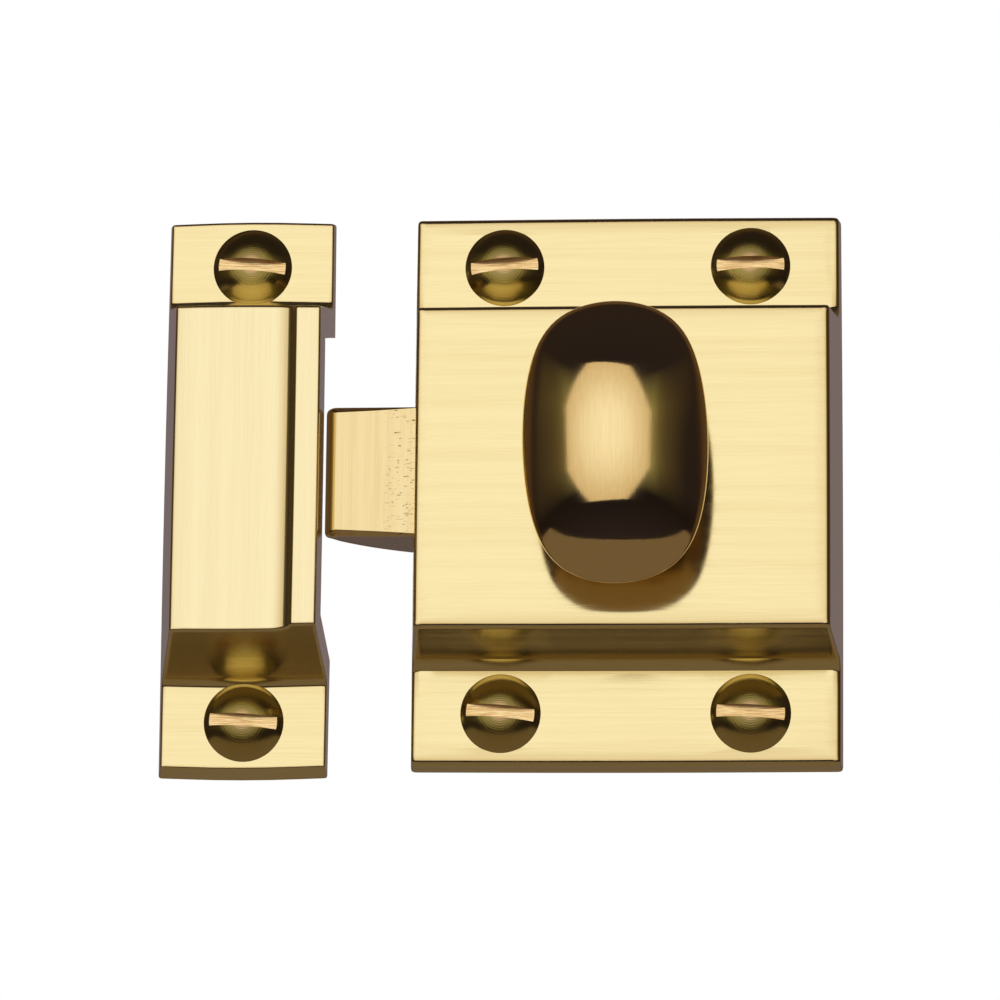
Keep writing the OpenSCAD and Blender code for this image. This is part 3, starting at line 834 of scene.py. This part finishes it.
def softCopy(node, name, body, slotName, width, *materials):
    piece = cadCopy(node)
    softEdges(piece, width, 2, 0.5, 40)
    putInPlace(piece, name, node, body, slotName, *materials)


softCopy("cover_plate", "cover_plate_sheet", "fixed", "sheet_brass", 0.1, sheetBrass)
softCopy("follower", "follower_crank", "turning", "machined_steel", 0.1, platedSteel)
softCopy("spindle", "spindle_bar", "turning", "machined_steel", 0.12, platedSteel)
softCopy("spindle_washer", "spindle_washer_ring", "turning", "machined_steel", 0.06, platedSteel)
softCopy("spindle_screw", "spindle_screw_slotted", "turning", "machined_steel", 0.08, platedSteel)
for number in (1, 2):
    coverScrew = "cover_screw_%d" % number
    low, high = (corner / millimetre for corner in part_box(coverScrew))
    softCopy(coverScrew, coverScrew + "_slotted", "fixed", "screw_brass", 0.05,
             turnedBrass("turned_brass_" + coverScrew, ((low.x + high.x) / 2, (low.z + high.z) / 2)))


# the end turns lie close, at this many wires' distance; travel is how far the bolt moves
springSpec = {"turns": 13, "wire": 0.5, "steps": 28, "closed": 1.06, "travel": 8}


def makeSpring():
    low, high = (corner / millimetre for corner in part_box("return_spring"))
    s = springSpec
    length, radius = high.x - low.x, (high.z - low.z) / 2 - s["wire"] / 2
    close = s["wire"] * s["closed"]
    spread = (length - 2 * close - s["wire"]) / (s["turns"] - 2)
    middle = ((low.y + high.y) / 2, (low.z + high.z) / 2)
    curve = bpy.data.curves.new("return_spring_wire", "CURVE")
    curve.dimensions = "3D"
    line = curve.splines.new("POLY")
    count = s["turns"] * s["steps"]
    line.points.add(count)
    for i in range(count + 1):
        t = i / s["steps"]
        if t < 1:
            along = t * close
        elif t > s["turns"] - 1:
            along = length - s["wire"] - (s["turns"] - t) * close
        else:
            along = close + (t - 1) * spread
        angle = 2 * math.pi * t
        line.points[i].co = (low.x + s["wire"] / 2 + along, middle[0] - radius * math.sin(angle),
                             middle[1] + radius * math.cos(angle), 1)
    curve.bevel_depth, curve.bevel_resolution, curve.use_fill_caps = s["wire"] / 2, 2, True
    spring = bpy.data.objects.new("return_spring_wire", curve)
    bpy.context.scene.collection.objects.link(spring)
    alone(spring)
    bpy.ops.object.convert(target="MESH")
    spring = bpy.context.object
    putInPlace(spring, "return_spring_wire", "return_spring", "fixed", "spring_steel", springSteel)
    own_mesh(spring)


makeSpring()
print("works made")


# Camera, lights and floor

# degrees and millimetres, fitted to the outline of the case; the camera looks up at the latch
cameraSpec = {"azimuth": 3.972, "elevation": -12.25, "roll": 0.575, "distance": 480.03,
              "target": (-11.515, 0, -0.474), "lens": 191.84}


def makeCamera():
    c = cameraSpec
    a, e, roll = (math.radians(c[key]) for key in ("azimuth", "elevation", "roll"))
    back = Vector((math.sin(a) * math.cos(e), -math.cos(a) * math.cos(e), math.sin(e)))
    right = Vector((math.cos(a), math.sin(a), 0))
    up = back.cross(right)
    tilted = math.cos(roll) * right + math.sin(roll) * up
    upright = -math.sin(roll) * right + math.cos(roll) * up
    data = bpy.data.cameras.new("photo_camera")
    data.lens, data.sensor_width = c["lens"], 36
    data.clip_start, data.clip_end = 0.01, 20
    camera = bpy.data.objects.new("photo_camera", data)
    place = (Vector(c["target"]) + back * c["distance"]) * millimetre
    camera.matrix_world = Matrix.Translation(place) @ Matrix((tilted, upright, back)).transposed().to_4x4()
    bpy.context.scene.collection.objects.link(camera)
    bpy.context.scene.camera = camera


# directions are azimuth and elevation in degrees, seen from the latch; lengths are metres
softboxSpec = {"direction": (-7.8, 13), "distance": 0.95, "half": (40.6, 30.7),
               "middle": "#FFFFFF", "rim": "#DACAB4", "level": 1.09}
tentSpec = {
    "radius": 1.8, "gapDirection": (184, 12.25), "gapHalf": 5,
    "frontToBack": [(0.0, "#282229"), (0.5, "#2C2526"), (0.57, "#55412E"), (0.85, "#5E4E41"),
                    (0.94, "#7A6E70"), (1.0, "#7F7377")],
    "bottomToTop": [(0.0, 1.6), (0.2, 1.2), (0.32, 0.8), (0.41, 0.55), (0.48, 0.9), (0.75, 0.95), (1.0, 1.1)],
    "spillMiddle": -0.06,               # x of the middle of what spills past the softbox on both sides
    "spillAside": [(0.5, "#8C8A58"), (0.62, "#8C8A58"), (0.72, "#5C5632"), (0.82, "#453D20"),
                   (1.0, "#000000")],
    "spillUp": [(0.4, 0.0), (0.52, 1.0), (0.68, 1.0), (0.8, 0.0)],
    "spillAhead": (0.0, -0.15),
}
tableSpec = {"colour": "#776856", "middle": (0, 0.3, -0.5), "size": (3.4, 1.86)}
floorSpec = {"colour": "#ECEAE6", "size": 8, "height": -0.16, "roughness": 0.7}


def direction(azimuth, elevation):
    a, e = math.radians(azimuth), math.radians(elevation)
    return Vector((math.sin(a) * math.cos(e), -math.cos(a) * math.cos(e), math.sin(e)))


def glossOnly(thing):
    # seen by the metal alone, so that the floor and the background stay as they are
    thing.visible_camera = False
    thing.visible_diffuse = False
    thing.visible_shadow = False
    thing.visible_transmission = False


def glowing(name):
    material, tree = newMaterial(name)
    tree.nodes.remove(tree.nodes["Principled BSDF"])
    shine = addNode(tree, "Emission")
    tree.links.new(shine.outputs[0], tree.nodes["Material Output"].inputs["Surface"])
    return material, tree, shine


def makeSoftbox():
    s = softboxSpec
    aim = direction(*s["direction"])
    bpy.ops.object.select_all(action="DESELECT")
    halfSide = math.radians(22.5)
    bpy.ops.mesh.primitive_circle_add(vertices=8, radius=1, fill_type="NGON", rotation=(0, 0, halfSide))
    box = bpy.context.object
    bpy.ops.object.transform_apply(rotation=True)
    wide, high = (math.tan(math.radians(half)) * s["distance"] for half in s["half"])
    box.scale = (wide / math.cos(halfSide), high / math.cos(halfSide), 1)
    box.rotation_mode = "QUATERNION"
    box.rotation_quaternion = (-aim).to_track_quat("Z", "Y")
    box.location = aim * s["distance"]
    box.name = "octagon_softbox"
    material, tree, shine = glowing("softbox_cloth")
    far = addNode(tree, "VectorMath", [(0, objectPlace(tree))], operation="LENGTH")
    fall = setRamp(addNode(tree, "ValToRGB", [("Fac", far.outputs["Value"])]),
                   [(0.1, s["middle"]), (1.0, s["rim"])])
    fall.color_ramp.interpolation = "EASE"
    tree.links.new(fall.outputs["Color"], shine.inputs["Color"])
    shine.inputs["Strength"].default_value = s["level"]
    box.data.materials.append(material)
    glossOnly(box)


def makeTent():
    # dim cloth all round the latch, open where the white background shows behind it
    bpy.ops.object.select_all(action="DESELECT")
    s = tentSpec
    bpy.ops.mesh.primitive_uv_sphere_add(segments=96, ring_count=48, radius=s["radius"])
    tent = bpy.context.object
    tent.name = "dim_tent"
    gap, gapEdge = direction(*s["gapDirection"]), math.cos(math.radians(s["gapHalf"]))
    pick(tent, "FACE", lambda place, normal: place.normalized().dot(gap) > gapEdge)
    bpy.ops.mesh.delete(type="FACE")
    closeEdit()
    material, tree, shine = glowing("tent_cloth")
    unit = addNode(tree, "VectorMath", [(0, objectPlace(tree))], operation="NORMALIZE")
    parts = addNode(tree, "SeparateXYZ", [(0, unit.outputs[0])])
    backward = addNode(tree, "MapRange", [("Value", parts.outputs["Y"])], in_1=-1.0, in_2=1.0)
    around = setRamp(addNode(tree, "ValToRGB", [("Fac", backward.outputs[0])]), s["frontToBack"])
    upward = addNode(tree, "MapRange", [("Value", parts.outputs["Z"])], in_1=-1.0, in_2=1.0)
    level = setRamp(addNode(tree, "ValToRGB", [("Fac", upward.outputs[0])]), s["bottomToTop"])
    plain = addNode(tree, "Mix", [(6, around.outputs["Color"]), (7, level.outputs["Color"])],
                    data_type="RGBA", blend_type="MULTIPLY", in_0=1)
    # light that spills past the softbox on both sides
    aside = addNode(tree, "Math", [(0, parts.outputs["X"])], operation="ADD", in_1=-s["spillMiddle"])
    apart = addNode(tree, "Math", [(0, aside.outputs[0])], operation="ABSOLUTE")
    spill = setRamp(addNode(tree, "ValToRGB", [("Fac", apart.outputs[0])]), s["spillAside"])
    band = setRamp(addNode(tree, "ValToRGB", [("Fac", upward.outputs[0])]), s["spillUp"])
    start, full = s["spillAhead"]
    ahead = addNode(tree, "MapRange", [("Value", parts.outputs["Y"])], in_1=start, in_2=full)
    kept = addNode(tree, "Mix", [(6, spill.outputs["Color"]), (7, band.outputs["Color"])], data_type="RGBA",
                   blend_type="MULTIPLY", in_0=1)
    both = addNode(tree, "Mix", [(0, ahead.outputs[0]), (6, plain.outputs[2]), (7, kept.outputs[2])],
                   data_type="RGBA", blend_type="ADD")
    tree.links.new(both.outputs[2], shine.inputs["Color"])
    tent.data.materials.append(material)
    glossOnly(tent)


def makeTable():
    # the lit table below the latch, whose front edge shows low in the knob
    bpy.ops.object.select_all(action="DESELECT")
    s = tableSpec
    bpy.ops.mesh.primitive_plane_add(size=1, location=s["middle"])
    table = bpy.context.object
    table.scale = (*s["size"], 1)
    table.name = "lit_table"
    material, tree, shine = glowing("table_cloth")
    shine.inputs["Color"].default_value = linear(s["colour"])
    table.data.materials.append(material)
    glossOnly(table)


def makeFloor():
    bpy.ops.object.select_all(action="DESELECT")
    s = floorSpec
    bpy.ops.mesh.primitive_plane_add(size=s["size"], location=(0, 0, s["height"]))
    floor = bpy.context.object
    floor.name = "pale_floor"
    material, tree = newMaterial("pale_floor")
    shader = tree.nodes["Principled BSDF"]
    shader.inputs["Base Color"].default_value = linear(s["colour"])
    shader.inputs["Roughness"].default_value = s["roughness"]
    floor.data.materials.append(material)
    floor.visible_glossy = False


def makeWorld():
    # white to the camera and in the metal, a little less for the light on the floor
    world = bpy.data.worlds.new("white_room")
    bpy.context.scene.world = world
    world.use_nodes = True
    tree = world.node_tree
    sky = tree.nodes["Background"]
    rays = addNode(tree, "LightPath")
    seen = addNode(tree, "Math", [(0, rays.outputs["Is Camera Ray"]), (1, rays.outputs["Is Glossy Ray"])],
                   operation="MAXIMUM")
    shown = addNode(tree, "Math", [(0, seen.outputs[0]), (1, rays.outputs["Is Transmission Ray"])],
                    operation="MAXIMUM")
    level = addNode(tree, "MapRange", [("Value", shown.outputs[0])], in_3=0.8, in_4=1.0)
    tree.links.new(level.outputs[0], sky.inputs["Strength"])
    sky.inputs["Color"].default_value = (1, 1, 1, 1)


makeCamera()
makeSoftbox()
makeTent()
makeTable()
makeFloor()
makeWorld()
bpy.context.scene.view_settings.view_transform = "Standard"
print("studio made")
